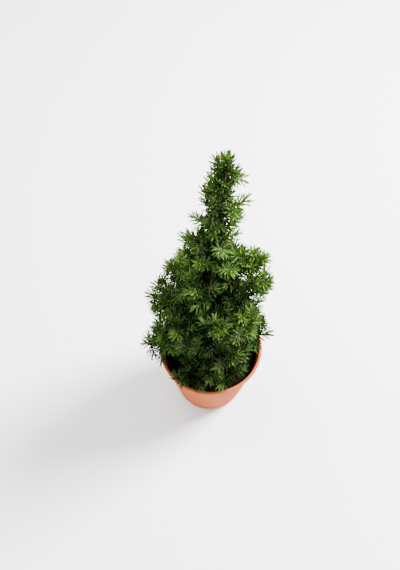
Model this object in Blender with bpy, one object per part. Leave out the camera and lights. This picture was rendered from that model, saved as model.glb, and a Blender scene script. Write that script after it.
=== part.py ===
"""A dwarf conifer with needles all round its shoots, growing in a round terracotta-coloured plastic pot.

The plant is a trunk that runs up through the crown, tapering boughs that leave it on a spiral, and masses of
needled shoots that each grow on from a bough's tip or from the trunk. The origin is the centre of the pot's
flat underside, +Z is up, and the side with the lowest, longest sprays in front is -Y.
"""

import math
import random

import bmesh
import bpy
from mathutils import Matrix, Vector, noise

# Driving dimensions, in metres.
RIM_RADIUS = 0.0525
POT_HEIGHT = 0.0890
FOOT_RADIUS = 0.0367
POT_WALL = 0.0013
POT_FLOOR = 0.0020
LIP_WIDTH = 0.0016
LIP_HEIGHT = 0.0030
SOIL_TOP = 0.0780
PLANT_TOP = 0.3740
TRUNK_TOP = 0.2560
TRUNK_FOOT_RADIUS = 0.0040
LEADER_RADIUS = 0.0006
ROOT_FLARE = 0.0026
GAP = 0.0003
STEM_RADIUS = 0.0013
LIMB_ROOM = 0.0017
SIBLING_ROOM = 0.435

# The crown's outline, needles included: height, reach from the trunk's axis and shift towards +X.
CROWN_OUTLINE = (
    (0.090, 0.060, -0.008),
    (0.120, 0.057, -0.003),
    (0.175, 0.052, -0.003),
    (0.200, 0.054, 0.000),
    (0.225, 0.043, 0.006),
    (0.255, 0.036, 0.006),
    (0.280, 0.022, -0.002),
    (0.305, 0.018, 0.000),
    (0.330, 0.016, 0.000),
    (0.350, 0.011, 0.000),
)

# Tips that stand out of the outline: height, bearing from +X in degrees and reach from the trunk's axis.
LONG_TIPS = (
    (0.259, 0, 0.0430),
    (0.247, 180, 0.0395),
    (0.231, -5, 0.0500),
    (0.199, 10, 0.0550),
    (0.188, 175, 0.0560),
    (0.133, -8, 0.0600),
    (0.125, 190, 0.0585),
    (0.125, -70, 0.0420),
    (0.106, -66, 0.0490),
    (0.104, -120, 0.0570),
    (0.102, 180, 0.0700),
)
LEADER_TIPS = (
    (0.348, 5, 0.0115),
    (0.337, 185, 0.0130),
    (0.330, -10, 0.0190),
    (0.317, 170, 0.0170),
    (0.290, 190, 0.0240),
    (0.303, 15, 0.0190),
    (0.292, 280, 0.0210),
    (0.296, 95, 0.0200),
    (0.279, 20, 0.0170),
    (0.277, 235, 0.0260),
    (0.274, 165, 0.0280),
    (0.270, -60, 0.0270),
)

# The needles' length on the lowest shoots and on the leader.
NEEDLE_LOW = 0.0110
NEEDLE_HIGH = 0.0072
NEEDLE_SPREAD = 0.74

BOUGHED_MASSES = 18
TRUNK_MASSES = 12
CROWN_SEED = 43
SPIRAL_STEP = math.radians(137.5)

POT_SIDES = 40
DRAIN_HOLES = 6
DRAIN_RADIUS = 0.0025
DRAIN_CIRCLE = 0.0240


def between(low, high, share):
    """The value a share of the way from low to high."""
    return low + (high - low) * share


def crown_row(height):
    """The crown's reach and shift at a height, on straight lines between the named ones."""
    height = min(max(height, CROWN_OUTLINE[0][0]), CROWN_OUTLINE[-1][0])
    for lower, upper in zip(CROWN_OUTLINE, CROWN_OUTLINE[1:]):
        if height <= upper[0]:
            share = (height - lower[0]) / (upper[0] - lower[0])
            return between(lower[1], upper[1], share), between(lower[2], upper[2], share)


def crown_reach(height, turn):
    """The crown's reach from the trunk's axis at a height, towards one bearing."""
    reach, shift = crown_row(height)
    return reach + shift * math.cos(turn)


def needle_length(height):
    """The needles shorten evenly from the lowest shoots to the leader."""
    share = (height - SOIL_TOP) / (PLANT_TOP - SOIL_TOP)
    return between(NEEDLE_LOW, NEEDLE_HIGH, min(max(share, 0.0), 1.0))


def ease(share):
    """A smooth step from 0 to 1."""
    share = min(max(share, 0.0), 1.0)
    return share * share * (3.0 - 2.0 * share)


def trunk_axis(height):
    """The middle of the trunk at a height: a slow sway, then a step to the right under the leader."""
    sway = 0.0022 * math.sin(math.pi * (height - SOIL_TOP) / 0.165)
    step = 0.0050 * ease((height - 0.310) / 0.050)
    depth = 0.0015 * math.sin(math.pi * (height - SOIL_TOP) / 0.120)
    return Vector((step - sway, depth, height))


def trunk_radius(height):
    """The trunk's taper with the root flare at its foot."""
    share = (height - SOIL_TOP) / (PLANT_TOP - SOIL_TOP)
    flare = ROOT_FLARE * math.exp(-(height - SOIL_TOP) / 0.0045)
    return between(TRUNK_FOOT_RADIUS, LEADER_RADIUS, share**0.8) + flare


def pot_outer_radius(height):
    """The outside of the pot's tapering wall, under its lip."""
    return between(FOOT_RADIUS, RIM_RADIUS - LIP_WIDTH, height / POT_HEIGHT)


def pot_inner_radius(height):
    """The inside of the pot's wall."""
    return pot_outer_radius(height) - POT_WALL


class Shoot:
    """A straight twig with a spray of needles on its outer part."""

    def __init__(self, root, tip, start, reach):
        self.root = root
        self.tip = tip
        self.start = start
        self.reach = reach
        along = (tip - start).normalized()
        self.spray = (start + along * reach * 0.45, tip - along * reach * 0.55)
        self.bare = (root, self.spray[0])


class Mass:
    """A stem that carries shoots, with the limb that it grows from."""

    def __init__(self, name, path, bough_share, seed):
        self.name = name
        self.path = path
        self.bough_share = bough_share
        self.seed = seed
        self.shoots = []
        steps = 4
        points = [path(i / steps) for i in range(steps + 1)]
        self.limb = list(zip(points, points[1:]))


def limb_path(root, tip, sag):
    """A curve from root to tip as a function of a share from 0 to 1: flat at first and then turning up."""
    middle = (root + tip) / 2.0 - Vector((0.0, 0.0, sag))

    def at(share):
        return root * (1 - share) ** 2 + middle * 2 * share * (1 - share) + tip * share**2

    return at


def direction_at(path, share):
    """The way that a path runs at a share of its length."""
    return (path(share + 0.01) - path(share - 0.01)).normalized()


def segment_gap(first, second):
    """The least distance between two line segments."""
    (a, b), (c, d) = first, second
    u, v, w = b - a, d - c, a - c
    uu, uv, vv, uw, vw = u.dot(u), u.dot(v), v.dot(v), u.dot(w), v.dot(w)
    spread = uu * vv - uv * uv
    s = min(max((uv * vw - vv * uw) / spread, 0.0), 1.0) if spread > 1e-14 else 0.0
    t = min(max((uv * s + vw) / vv, 0.0), 1.0)
    s = min(max((uv * t - uw) / uu, 0.0), 1.0)
    return (w + u * s - v * t).length


def clear_of_pot(point, reach):
    """True if a ball of that reach round the point touches neither the pot nor the soil."""
    radial = math.hypot(point.x, point.y)
    if point.z < POT_HEIGHT and radial > RIM_RADIUS:
        return radial - RIM_RADIUS > reach
    wall = pot_inner_radius(min(point.z, POT_HEIGHT))
    lip = math.hypot(max(wall - radial, radial - RIM_RADIUS, 0.0), max(point.z - POT_HEIGHT, 0.0))
    return lip > reach and (radial > RIM_RADIUS or point.z - SOIL_TOP > reach)


def spray_is_free(shoot):
    """True if the needled part of a shoot misses the pot, the soil and the trunk."""
    for share in (0.0, 0.33, 0.67, 1.0):
        point = shoot.spray[0].lerp(shoot.spray[1], share)
        if not clear_of_pot(point, shoot.reach + GAP):
            return False
        height = min(max(point.z, SOIL_TOP), TRUNK_TOP)
        if (point - trunk_axis(height)).length < shoot.reach + trunk_radius(height) + GAP:
            return False
    return True


def shoot_fits(shoot, own, masses):
    """True if a shoot keeps clear of every other mass and its limb, and of its own bough."""
    if not spray_is_free(shoot):
        return False
    if own.bough_share and segment_gap(shoot.spray, own.limb[0]) < shoot.reach + LIMB_ROOM:
        return False
    for other in own.shoots:
        if segment_gap(shoot.spray, other.spray) < (shoot.reach + other.reach) * SIBLING_ROOM:
            return False
    for mass in masses:
        if mass is own:
            continue
        for piece in mass.limb:
            if segment_gap(shoot.spray, piece) < shoot.reach + LIMB_ROOM:
                return False
            if segment_gap(shoot.bare, piece) < 2 * LIMB_ROOM:
                return False
        for other in mass.shoots:
            if segment_gap(shoot.spray, other.spray) < shoot.reach + other.reach + GAP:
                return False
            if segment_gap(shoot.spray, other.bare) < shoot.reach + LIMB_ROOM:
                return False
            if segment_gap(shoot.bare, other.spray) < other.reach + LIMB_ROOM:
                return False
            if segment_gap(shoot.bare, other.bare) < 2 * LIMB_ROOM:
                return False
    return True


def limb_fits(mass, masses):
    """True if a limb and its end shoot keep clear of the ones already placed."""
    end = mass.shoots[0]
    if not spray_is_free(end):
        return False
    for other in masses:
        for piece in other.limb:
            if segment_gap(end.spray, piece) < end.reach + LIMB_ROOM:
                return False
            if any(segment_gap(own, piece) < 2.2 * LIMB_ROOM for own in mass.limb):
                return False
        spray = other.shoots[0]
        if segment_gap(end.spray, spray.spray) < end.reach + spray.reach + GAP:
            return False
        if any(segment_gap(own, spray.spray) < spray.reach + LIMB_ROOM for own in mass.limb):
            return False
    return True


def tip_places():
    """Height, bearing and reach of the masses' tips on a rising spiral, from the lowest up."""
    count = BOUGHED_MASSES + TRUNK_MASSES
    dice = random.Random(CROWN_SEED)
    steps = 400
    low, high = CROWN_OUTLINE[0][0] + 0.010, TRUNK_TOP + 0.006
    heights = [between(low, high, i / steps) for i in range(steps + 1)]
    weights = [crown_row(height)[0] ** 1.4 for height in heights]
    total, passed, places = sum(weights), 0.0, []
    for height, weight in zip(heights, weights):
        passed += weight
        while len(places) < count and passed / total >= (len(places) + 0.5) / count:
            turn = (len(places) * SPIRAL_STEP + dice.uniform(-0.2, 0.2)) % math.tau
            places.append((height, turn, crown_reach(height, turn) * dice.uniform(0.88, 1.0)))
    return places


def apart(one, other):
    """How far apart two tip places are, with a turn of a radian counted as 30 mm."""
    turn = math.remainder(one[1] - other[1], math.tau)
    return math.hypot(one[0] - other[0], turn * 0.030)


def drawn_to_long_tips(places):
    """The places, with the nearest one moved to each of the tips that stand out."""
    moved = {}
    for height, bearing, reach in LONG_TIPS:
        wanted = (height, math.radians(bearing), reach)
        free = [i for i in range(len(places)) if i not in moved]
        moved[min(free, key=lambda i: apart(places[i], wanted))] = wanted
    return [moved.get(i, place) for i, place in enumerate(places)]


def make_mass(number, place, boughed, seed):
    """A mass whose end shoot's needles reach the place."""
    height, turn, out = place
    outward = Vector((math.cos(turn), math.sin(turn), 0.0))
    needle = needle_length(height) * NEEDLE_SPREAD
    foot = between(0.30, 0.62, (height - SOIL_TOP) / (TRUNK_TOP - SOIL_TOP))
    root_height = max(SOIL_TOP + 0.006, height - out * math.tan(foot * 1.35))
    root_height = min(root_height, TRUNK_TOP - 0.004)
    axis = trunk_axis(root_height)
    tip = trunk_axis(height) + outward * out
    tip -= (tip - axis).normalized() * needle * 0.45
    way = (tip - axis).normalized()
    root = axis + outward * (trunk_radius(root_height) + GAP + STEM_RADIUS * abs(way.z))
    path = limb_path(root, tip, (tip - root).length * 0.06)
    mass = Mass(f"foliage_{number:02d}", path, 0.42 if boughed else 0.0, seed)
    length = (tip - root).length
    start = path(max(mass.bough_share + 0.10, 1.0 - 0.019 / length))
    mass.shoots.append(Shoot(path(mass.bough_share), tip, start, needle))
    return mass


def make_masses():
    """Lays out the limbs, each swung round a little or raised until it fits."""
    dice = random.Random(CROWN_SEED + 1)
    places = drawn_to_long_tips(tip_places())
    order = sorted(range(len(places)), key=lambda i: -places[i][2])
    masses = []
    for i in order:
        height, turn, out = places[i]
        for attempt in range(60):
            swing = attempt * 0.03
            place = (
                height + dice.uniform(0.0, 1.0) * swing * 0.012,
                turn + dice.uniform(-1.0, 1.0) * swing * 0.7,
                out * (1.0 - swing * 0.08),
            )
            mass = make_mass(i + 1, place, i < BOUGHED_MASSES, dice.random())
            if limb_fits(mass, masses):
                masses.append(mass)
                break
    return sorted(masses, key=lambda mass: mass.name)


def side_shoots(mass):
    """Shoots that may leave a mass's stem all round it, longer near its root."""
    dice = random.Random(mass.seed)
    length = (mass.path(1.0) - mass.path(mass.bough_share)).length
    count = 6 + int(length / 0.0030)
    for k in range(count):
        share = between(mass.bough_share + 0.08, 0.88, (k + 0.5) / count)
        root = mass.path(share)
        along = direction_at(mass.path, share)
        side = along.cross(Vector((0.0, 0.0, 1.0))).normalized()
        turn = k * SPIRAL_STEP + dice.uniform(-0.4, 0.4)
        out = side * math.cos(turn) + side.cross(along) * math.sin(turn)
        lean = math.radians(dice.uniform(44.0, 60.0))
        way = along * math.cos(lean) + out * math.sin(lean) + Vector((0.0, 0.0, 0.20))
        size = between(1.0, 0.72, (share - mass.bough_share) / (1 - mass.bough_share))
        size *= dice.uniform(0.88, 1.12) * between(1.0, 0.60, root.z / PLANT_TOP)
        for trial in (1.0, 0.8):
            tip = root + way.normalized() * 0.0290 * size * trial
            yield Shoot(root, tip, root.lerp(tip, 0.28), needle_length(tip.z) * NEEDLE_SPREAD)


def within_crown(shoot):
    """True if a shoot's needles stay in the crown's outline."""
    tip = shoot.tip
    axis = trunk_axis(max(tip.z, SOIL_TOP))
    out = math.hypot(tip.x - axis.x, tip.y - axis.y)
    turn = math.atan2(tip.y - axis.y, tip.x - axis.x)
    return tip.z < PLANT_TOP - 0.014 and out + shoot.reach * 0.45 < crown_reach(tip.z, turn)


def make_leader():
    """The mass that carries the crown on from the trunk's cut tip to the plant's top."""
    foot = TRUNK_TOP + GAP
    needle = needle_length(PLANT_TOP) * NEEDLE_SPREAD
    top = PLANT_TOP - needle * 0.45

    def path(share):
        return trunk_axis(between(foot, top, share))

    mass = Mass("foliage_leader", path, 0.0, 0.5)
    mass.shoots.append(Shoot(path(0.0), path(1.0), path(0.74), needle))
    for height, bearing, reach in LEADER_TIPS:
        turn = math.radians(bearing)
        tip = trunk_axis(height) + Vector((math.cos(turn), math.sin(turn), 0.0)) * (reach - needle * 0.45)
        root = trunk_axis(height - reach * 1.05)
        mass.shoots.append(Shoot(root, tip, root.lerp(tip, 0.2), needle))
    return mass


def grow_crown():
    """All the masses with the shoots that fit, the end shoots first and then the sides turn by turn."""
    masses = make_masses()
    masses.append(make_leader())
    waiting = [(mass, list(side_shoots(mass))) for mass in masses]
    while any(shoots for _, shoots in waiting):
        for mass, shoots in waiting:
            if shoots:
                shoot = shoots.pop()
                if within_crown(shoot) and shoot_fits(shoot, mass, masses):
                    mass.shoots.append(shoot)
    return masses


def material(name, colour, roughness):
    """A plain Principled material."""
    made = bpy.data.materials.new(name)
    made.use_nodes = True
    shader = made.node_tree.nodes["Principled BSDF"]
    shader.inputs["Base Color"].default_value = (*colour, 1.0)
    shader.inputs["Roughness"].default_value = roughness
    made.diffuse_color = (*colour, 1.0)
    return made


def link(name, mesh, finish, origin=Vector()):
    """A named object whose mesh is moved so that the object's own place is at origin."""
    mesh.transform(Matrix.Translation(-origin))
    mesh.materials.clear()
    mesh.materials.append(finish)
    obj = bpy.data.objects.new(name, mesh)
    obj.location = origin
    bpy.context.scene.collection.objects.link(obj)
    return obj


def smooth(mesh):
    """Shades a round piece smooth between its sharp edges."""
    mesh.shade_smooth()
    mesh.set_sharp_from_angle(angle=math.radians(40.0))


def turned_mesh(name, profile, sides):
    """A closed mesh turned about Z from (radius, height) points, up the outside and down the inside."""
    bm = bmesh.new()
    verts = [bm.verts.new((radius, 0.0, height)) for radius, height in profile]
    edges = [bm.edges.new(pair) for pair in zip(verts, verts[1:])]
    if all(radius > 0 for radius, _ in profile):
        edges.append(bm.edges.new((verts[-1], verts[0])))
    bmesh.ops.spin(
        bm,
        geom=verts + edges,
        cent=(0, 0, 0),
        axis=(0, 0, 1),
        angle=math.tau,
        steps=sides,
        use_merge=False,
    )
    bmesh.ops.remove_doubles(bm, verts=bm.verts, dist=1e-6)
    bmesh.ops.recalc_face_normals(bm, faces=bm.faces)
    mesh = bpy.data.meshes.new(name)
    bm.to_mesh(mesh)
    bm.free()
    return mesh


def pot_profile():
    """The pot's section, from the middle of its underside out, up over the lip and back down inside."""
    lip_foot = POT_HEIGHT - LIP_HEIGHT
    return (
        (0.0, 0.0),
        (FOOT_RADIUS - 0.0015, 0.0),
        (FOOT_RADIUS, 0.0015),
        (pot_outer_radius(lip_foot - 0.001), lip_foot - 0.001),
        (RIM_RADIUS - 0.0003, lip_foot),
        (RIM_RADIUS, lip_foot + 0.0008),
        (RIM_RADIUS, POT_HEIGHT - 0.0007),
        (RIM_RADIUS - 0.0006, POT_HEIGHT),
        (pot_inner_radius(POT_HEIGHT) + 0.0006, POT_HEIGHT),
        (pot_inner_radius(POT_HEIGHT), POT_HEIGHT - 0.0007),
        (pot_inner_radius(POT_FLOOR), POT_FLOOR),
        (0.0, POT_FLOOR),
    )


def make_pot(finish):
    """The pot, with a ring of small drain holes bored through its floor."""
    mesh = turned_mesh("pot", pot_profile(), POT_SIDES)
    smooth(mesh)
    pot = link("pot", mesh, finish)
    for k in range(DRAIN_HOLES):
        turn = math.tau * (k + 0.5) / DRAIN_HOLES
        bm = bmesh.new()
        bmesh.ops.create_cone(
            bm,
            cap_ends=True,
            segments=12,
            radius1=DRAIN_RADIUS,
            radius2=DRAIN_RADIUS,
            depth=POT_FLOOR * 3,
        )
        mesh = bpy.data.meshes.new("drain")
        bm.to_mesh(mesh)
        bm.free()
        drill = link(f"drain_{k + 1}", mesh, finish)
        drill.location = (math.cos(turn) * DRAIN_CIRCLE, math.sin(turn) * DRAIN_CIRCLE, POT_FLOOR / 2)
        drill.hide_render = True
        drill.display_type = "WIRE"
        bore = pot.modifiers.new(f"drain_{k + 1}", "BOOLEAN")
        bore.operation = "DIFFERENCE"
        bore.object = drill


def make_soil(finish):
    """The compost: it fills the pot, is level round the trunk and lumpy towards the wall."""
    top, foot = SOIL_TOP - GAP, POT_FLOOR + GAP
    edge, low = pot_inner_radius(top) - GAP, pot_inner_radius(foot) - GAP
    profile = [(0.0, foot), (low, foot), (edge, top)]
    profile += [(edge * share, top) for share in (0.84, 0.66, 0.46, 0.24)]
    profile.append((0.0, top))
    mesh = turned_mesh("soil", profile, 28)
    level = 0.014
    for vert in mesh.vertices:
        radial = math.hypot(vert.co.x, vert.co.y)
        if vert.co.z > top - 1e-6 and level < radial < edge - 1e-4:
            vert.co.z += 0.0016 * noise.noise(vert.co * 90.0) - 0.0008
    smooth(mesh)
    link("soil", mesh, finish)


def tube(bm, centres, radii, sides, straight=99, twist=0.0):
    """A closed tapering tube whose rings after the straight ones each turn by the twist.

    It gives back the side faces, ring by ring, and the end face.
    """
    rings = []
    across = Vector((0.0, 1.0, 0.0))
    for i, (centre, radius) in enumerate(zip(centres, radii)):
        ahead = (centres[min(i + 1, len(centres) - 1)] - centres[max(i - 1, 0)]).normalized()
        across = ahead.cross(across).cross(ahead).normalized()
        up = ahead.cross(across)
        turns = [math.tau * k / sides + twist * max(i - straight, 0) for k in range(sides)]
        rings.append(
            [bm.verts.new(centre + (across * math.cos(t) + up * math.sin(t)) * radius) for t in turns]
        )
    bm.faces.new(reversed(rings[0]))
    end = bm.faces.new(rings[-1])
    faces = [
        [bm.faces.new((low[k], low[(k + 1) % sides], high[(k + 1) % sides], high[k])) for k in range(sides)]
        for low, high in zip(rings, rings[1:])
    ]
    return faces, end


def limb_mesh(name, centres, radii, sides):
    """A closed tapering limb with flat ends through the centres."""
    bm = bmesh.new()
    tube(bm, centres, radii, sides)
    mesh = bpy.data.meshes.new(name)
    bm.to_mesh(mesh)
    bm.free()
    smooth(mesh)
    return mesh


def make_trunk(finish):
    """The trunk, from its flat cut on the soil to the foot of the leader."""
    steps = 18
    heights = [between(SOIL_TOP, TRUNK_TOP, (i / steps) ** 1.35) for i in range(steps + 1)]
    centres = [trunk_axis(height) for height in heights]
    mesh = limb_mesh("trunk", centres, [trunk_radius(height) for height in heights], 10)
    for vert in mesh.vertices[:10]:
        vert.co.z = SOIL_TOP
    link("trunk", mesh, finish, trunk_axis(SOIL_TOP))


def make_bough(mass, finish):
    """The bare inner part of a mass's limb."""
    steps = 4
    end = mass.bough_share - GAP / (mass.path(1.0) - mass.path(0.0)).length
    shares = [end * i / steps for i in range(steps + 1)]
    radii = [between(STEM_RADIUS * 1.15, STEM_RADIUS * 0.95, i / steps) for i in range(steps + 1)]
    mesh = limb_mesh("bough", [mass.path(share) for share in shares], radii, 5)
    link(mass.name.replace("foliage", "bough"), mesh, finish, mass.path(0.0))


def spray_centres(shoot, bands):
    """The middles of a spray's rings of needles, from its start to its tip."""
    return [shoot.start.lerp(shoot.tip, i / bands) for i in range(bands + 1)]


def shoot_mesh(shoot, inner, inner_radii, bands, dice):
    """One closed mesh: a twig through the inner centres that goes on as a slim core with needles."""
    core = shoot.reach * 0.16
    radii = [core * between(1.0, 0.45, (i / bands) ** 2) for i in range(bands + 1)]
    bm = bmesh.new()
    faces, end = tube(
        bm, inner + spray_centres(shoot, bands), inner_radii + radii, 3, len(inner), math.radians(40.0)
    )
    along = (shoot.tip - shoot.start).normalized()
    for i, ring in enumerate(faces[len(inner):]):
        middle = shoot.start.lerp(shoot.tip, (i + 0.5) / bands)
        lean = math.radians(between(74.0, 40.0, (i + 0.5) / bands))
        for face in ring:
            foot = face.calc_center_median()
            out = foot - middle
            out = (out - along * out.dot(along)).normalized()
            lean_here = lean + dice.uniform(-0.12, 0.12)
            needle = shoot.reach * dice.uniform(0.84, 0.97)
            point = bmesh.ops.poke(bm, faces=[face])["verts"][0]
            point.co = middle + (along * math.cos(lean_here) + out * math.sin(lean_here)) * needle
    point = bmesh.ops.poke(bm, faces=[end])["verts"][0]
    point.co = shoot.tip + along * shoot.reach * 0.42
    mesh = bpy.data.meshes.new("shoot")
    bm.to_mesh(mesh)
    bm.free()
    return mesh


def largest_body(mesh):
    """The mesh in triangles, with the hollows that the joining sealed filled and any scrap dropped."""
    mesh.calc_loop_triangles()
    faces = [tuple(triangle.vertices) for triangle in mesh.loop_triangles]
    beside = {}
    for i, face in enumerate(faces):
        for side in zip(face, face[1:] + face[:1]):
            beside.setdefault(frozenset(side), []).append(i)
    near = {i: [] for i in range(len(faces))}
    for pair in beside.values():
        if len(pair) == 2:
            near[pair[0]].append(pair[1])
            near[pair[1]].append(pair[0])
    left, largest = set(near), []
    while left:
        body, edge = [], [left.pop()]
        while edge:
            face = edge.pop()
            body.append(face)
            fresh = left.intersection(near[face])
            left -= fresh
            edge.extend(fresh)
        largest = max(largest, body, key=len)
    kept = sorted(largest)
    used = sorted({corner for i in kept for corner in faces[i]})
    place = {corner: k for k, corner in enumerate(used)}
    solid = bpy.data.meshes.new(mesh.name)
    solid.from_pydata(
        [mesh.vertices[corner].co for corner in used],
        [],
        [[place[corner] for corner in faces[i]] for i in kept],
    )
    solid.materials.append(mesh.materials[0])
    return solid


def make_foliage(mass, finish):
    """A mass as one solid: its stem with the end shoot, and the side shoots joined on."""
    dice = random.Random(mass.seed)
    end = mass.shoots[0]
    group = bpy.data.collections.new("side shoots")
    bpy.context.scene.collection.children.link(group)
    steps = 4
    last = 1.0 - (end.tip - end.start).length / (mass.path(1.0) - mass.path(0.0)).length
    shares = [between(mass.bough_share, last, i / steps) for i in range(steps)]
    radii = [between(STEM_RADIUS, STEM_RADIUS * 0.8, i / steps) for i in range(steps)]
    mesh = shoot_mesh(end, [mass.path(share) for share in shares], radii, 4, dice)
    obj = link(mass.name, mesh, finish)
    for shoot in mass.shoots[1:]:
        twig = shoot_mesh(shoot, [shoot.root], [STEM_RADIUS * 0.55], 3, dice)
        part = link("shoot", twig, finish)
        bpy.context.scene.collection.objects.unlink(part)
        group.objects.link(part)
    if len(mass.shoots) > 1:
        union = obj.modifiers.new("join", "BOOLEAN")
        union.operation = "UNION"
        union.solver = "MANIFOLD"
        union.operand_type = "COLLECTION"
        union.collection = group
        joined = bpy.data.meshes.new_from_object(obj.evaluated_get(bpy.context.evaluated_depsgraph_get()))
        obj.modifiers.clear()
        obj.data = largest_body(joined)
    for part in list(group.objects):
        bpy.data.objects.remove(part, do_unlink=True)
    bpy.data.collections.remove(group)
    origin = mass.path(mass.bough_share)
    obj.data.transform(Matrix.Translation(-origin))
    obj.location = origin
    return obj


def clear_scene():
    """Takes away what the scene opens with."""
    for obj in list(bpy.data.objects):
        bpy.data.objects.remove(obj, do_unlink=True)


def main():
    """Builds the pot, the soil, the trunk, the boughs and the foliage."""
    clear_scene()
    plastic = material("pot_plastic", (0.62, 0.27, 0.16), 0.45)
    compost = material("compost", (0.035, 0.022, 0.015), 0.95)
    bark = material("bark", (0.20, 0.13, 0.07), 0.85)
    needles = material("needles", (0.12, 0.20, 0.02), 0.60)
    make_pot(plastic)
    make_soil(compost)
    make_trunk(bark)
    for mass in grow_crown():
        if mass.bough_share:
            make_bough(mass, bark)
        make_foliage(mass, needles)


main()
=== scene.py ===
"""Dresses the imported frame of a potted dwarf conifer: bark, twigs, needles, plastic pot and compost.

The crown grows by the same seeded rule as the solids, from the same driving sizes, and is then carried on to finer
shoots inside the same outline. Everything is in metres in the row frame: +Z up, the photo's side is -Y.
"""

import logging
import math
import random
from collections.abc import Callable, Iterator
from dataclasses import dataclass, field
from enum import Enum

import bpy
import numpy as np
from mathutils import Matrix, Vector, noise


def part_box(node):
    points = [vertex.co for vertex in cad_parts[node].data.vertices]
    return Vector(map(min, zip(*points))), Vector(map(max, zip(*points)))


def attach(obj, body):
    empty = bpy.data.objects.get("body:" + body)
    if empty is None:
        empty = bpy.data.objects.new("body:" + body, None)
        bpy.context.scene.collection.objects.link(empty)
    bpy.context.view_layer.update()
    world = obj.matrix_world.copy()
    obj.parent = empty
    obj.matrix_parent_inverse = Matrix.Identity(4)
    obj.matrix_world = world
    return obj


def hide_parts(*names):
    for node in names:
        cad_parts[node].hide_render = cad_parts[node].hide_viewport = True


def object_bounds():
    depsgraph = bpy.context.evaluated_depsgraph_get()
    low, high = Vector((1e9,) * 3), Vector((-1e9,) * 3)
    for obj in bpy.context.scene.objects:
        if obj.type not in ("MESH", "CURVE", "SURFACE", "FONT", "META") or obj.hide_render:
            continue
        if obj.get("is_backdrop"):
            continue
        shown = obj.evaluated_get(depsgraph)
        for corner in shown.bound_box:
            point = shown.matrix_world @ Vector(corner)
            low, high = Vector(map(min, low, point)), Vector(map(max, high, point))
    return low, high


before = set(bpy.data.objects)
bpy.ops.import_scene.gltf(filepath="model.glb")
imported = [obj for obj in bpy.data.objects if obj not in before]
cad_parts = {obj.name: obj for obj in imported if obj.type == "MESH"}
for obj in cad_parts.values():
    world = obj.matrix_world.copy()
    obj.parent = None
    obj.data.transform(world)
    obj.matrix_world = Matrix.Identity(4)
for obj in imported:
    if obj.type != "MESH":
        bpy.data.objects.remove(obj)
START_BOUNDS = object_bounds()
log = logging.getLogger("potted_conifer")

Colour = tuple[float, float, float]
Path = Callable[[float], Vector]
Segment = tuple[Vector, Vector]

GOLDEN_TURN = math.radians(137.5)
FOLIAGE_NODES = sorted(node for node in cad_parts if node.startswith("foliage"))
BOUGH_NODES = sorted(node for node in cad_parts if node.startswith("bough"))


def between(low: float, high: float, share: float) -> float:
    """Gives the value a share of the way from low to high.

    Args:
        low: The value at share 0.
        high: The value at share 1.
        share: How far along to go.

    Returns:
        The value there.
    """
    return low + (high - low) * share


def clamped(value: float, low: float = 0.0, high: float = 1.0) -> float:
    """Keeps a value between two limits.

    Args:
        value: The value.
        low: The least that comes back.
        high: The most that comes back.

    Returns:
        The value, or the limit that it passed.
    """
    return min(max(value, low), high)


def segment_gap(first: Segment, second: Segment) -> float:
    """Measures the least distance between two line segments.

    Args:
        first: The ends of one segment.
        second: The ends of the other.

    Returns:
        The distance in metres.
    """
    (a, b), (c, d) = first, second
    u, v, w = b - a, d - c, a - c
    uu, uv, vv, uw, vw = u.dot(u), u.dot(v), v.dot(v), u.dot(w), v.dot(w)
    spread = uu * vv - uv * uv
    s = clamped((uv * vw - vv * uw) / spread) if spread > 1e-14 else 0.0
    t = clamped((uv * s + vw) / vv)
    s = clamped((uv * t - uw) / uu)
    return (w + u * s - v * t).length


def only(obj: bpy.types.Object) -> None:
    """Makes one object the selected and active one, in object mode.

    Args:
        obj: The object to select.
    """
    if bpy.context.object and bpy.context.object.mode != "OBJECT":
        bpy.ops.object.mode_set(mode="OBJECT")
    bpy.ops.object.select_all(action="DESELECT")
    obj.select_set(True)
    bpy.context.view_layer.objects.active = obj


def apply_modifiers(obj: bpy.types.Object) -> None:
    """Applies an object's modifiers in order.

    Args:
        obj: The object whose modifiers become mesh.
    """
    only(obj)
    for modifier in list(obj.modifiers):
        bpy.ops.object.modifier_apply(modifier=modifier.name)


@dataclass(frozen=True)
class Finish:
    """A plain finish, set on the shader's own sockets."""

    name: str
    colour: Colour
    roughness: float
    specular: float = 0.5

    def material(self) -> bpy.types.Material:
        """Makes the finish's material.

        Returns:
            A new material with one Principled shader.
        """
        made = bpy.data.materials.new(self.name)
        made.use_nodes = True
        shader = made.node_tree.nodes["Principled BSDF"]
        shader.inputs["Base Color"].default_value = (*self.colour, 1.0)
        shader.inputs["Roughness"].default_value = self.roughness
        shader.inputs["Specular IOR Level"].default_value = self.specular
        made.diffuse_color = (*self.colour, 1.0)
        return made


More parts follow.
